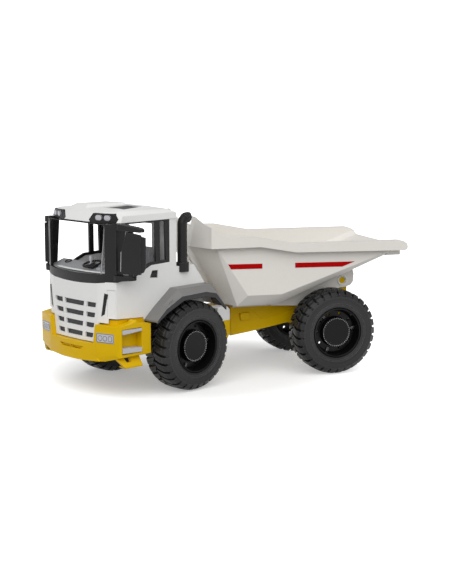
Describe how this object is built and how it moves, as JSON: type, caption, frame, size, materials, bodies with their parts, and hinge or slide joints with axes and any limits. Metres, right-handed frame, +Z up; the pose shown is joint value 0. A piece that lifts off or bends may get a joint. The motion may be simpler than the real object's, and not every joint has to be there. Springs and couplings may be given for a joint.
{
  "type": "toy articulated dump truck",
  "caption": "Toy articulated dump truck with hinged cab unit, tipping bed on a pivoted frame and free-rolling lugged wheels.",
  "frame": {"origin": "on the ground under the articulation pivot between the two units", "axes": "+X forward along the rear unit, +Y to its left, +Z up; the front unit stands turned 26 degrees to the left"},
  "size_m": [0.4933, 0.2698, 0.2396],
  "materials": {
    "chassis_yellow": "satin moulded plastic",
    "axle_steel": "bright drawn rod",
    "bed_grey": "satin moulded plastic, warm light grey",
    "stripe_red": "printed film",
    "cab_white": "satin moulded plastic",
    "trim_black": "matt moulded plastic",
    "fender_grey": "matt moulded plastic",
    "cabin_grey": "matt moulded plastic",
    "lamp_silver": "silver film",
    "tyre": "soft black plastic",
    "rim_black": "gloss black plastic"
  },
  "bodies": {
    "rear_unit": {"rear_frame": "chassis_yellow", "rear_axle": "axle_steel", "pivot_pin": "axle_steel", "tip_pin": "chassis_yellow"},
    "front_unit": {"front_frame": "chassis_yellow", "front_axle": "axle_steel", "bumper": "chassis_yellow", "step_plates": "lamp_silver", "headlights": "lamp_silver", "tow_pin": "trim_black", "cab_shell": "cab_white", "grille_back": "fender_grey", "window_frame": "trim_black", "roof": "cab_white", "roof_hatch": "fender_grey", "light_pods": "trim_black", "roof_lamps": "lamp_silver", "dashboard": "cabin_grey", "seats": "cabin_grey", "steering_wheel": "trim_black", "mirror_arms": "trim_black", "mirrors": "trim_black", "mirror_faces": "lamp_silver", "exhaust": "trim_black", "fender_left": "fender_grey", "fender_right": "fender_grey", "door_handles": "trim_black", "rear_steps": "cab_white"},
    "bed": {"bed": "bed_grey", "bed_brackets": "bed_grey", "bed_stripes": "stripe_red"},
    "wheel_front_left": {"tyre_front_left": "tyre", "rim_front_left": "rim_black", "cap_front_left": "rim_black"},
    "wheel_front_right": {"tyre_front_right": "tyre", "rim_front_right": "rim_black", "cap_front_right": "rim_black"},
    "wheel_rear_left": {"tyre_rear_left": "tyre", "rim_rear_left": "rim_black", "cap_rear_left": "rim_black"},
    "wheel_rear_right": {"tyre_rear_right": "tyre", "rim_rear_right": "rim_black", "cap_rear_right": "rim_black"}
  },
  "joints": [
    {"name": "articulation", "type": "hinge", "parent": "rear_unit", "child": "front_unit", "pos_m": [0, 0, 0.072], "axis": [0, 0, 1], "range_deg": [-58, 6]},
    {"name": "bed_tip", "type": "hinge", "parent": "rear_unit", "child": "bed", "pos_m": [-0.197, 0, 0.122], "axis": [0, -1, 0], "range_deg": [0, 55]},
    {"name": "spin_front_left", "type": "hinge", "parent": "front_unit", "child": "wheel_front_left", "pos_m": [0.04702, 0.11027, 0.058], "axis": [-0.4384, 0.8988, 0], "continuous": true},
    {"name": "spin_front_right", "type": "hinge", "parent": "front_unit", "child": "wheel_front_right", "pos_m": [0.11584, -0.03084, 0.058], "axis": [-0.4384, 0.8988, 0], "continuous": true},
    {"name": "spin_rear_left", "type": "hinge", "parent": "rear_unit", "child": "wheel_rear_left", "pos_m": [-0.17, 0.0785, 0.058], "axis": [0, 1, 0], "continuous": true},
    {"name": "spin_rear_right", "type": "hinge", "parent": "rear_unit", "child": "wheel_rear_right", "pos_m": [-0.17, -0.0785, 0.058], "axis": [0, 1, 0], "continuous": true}
  ]
}
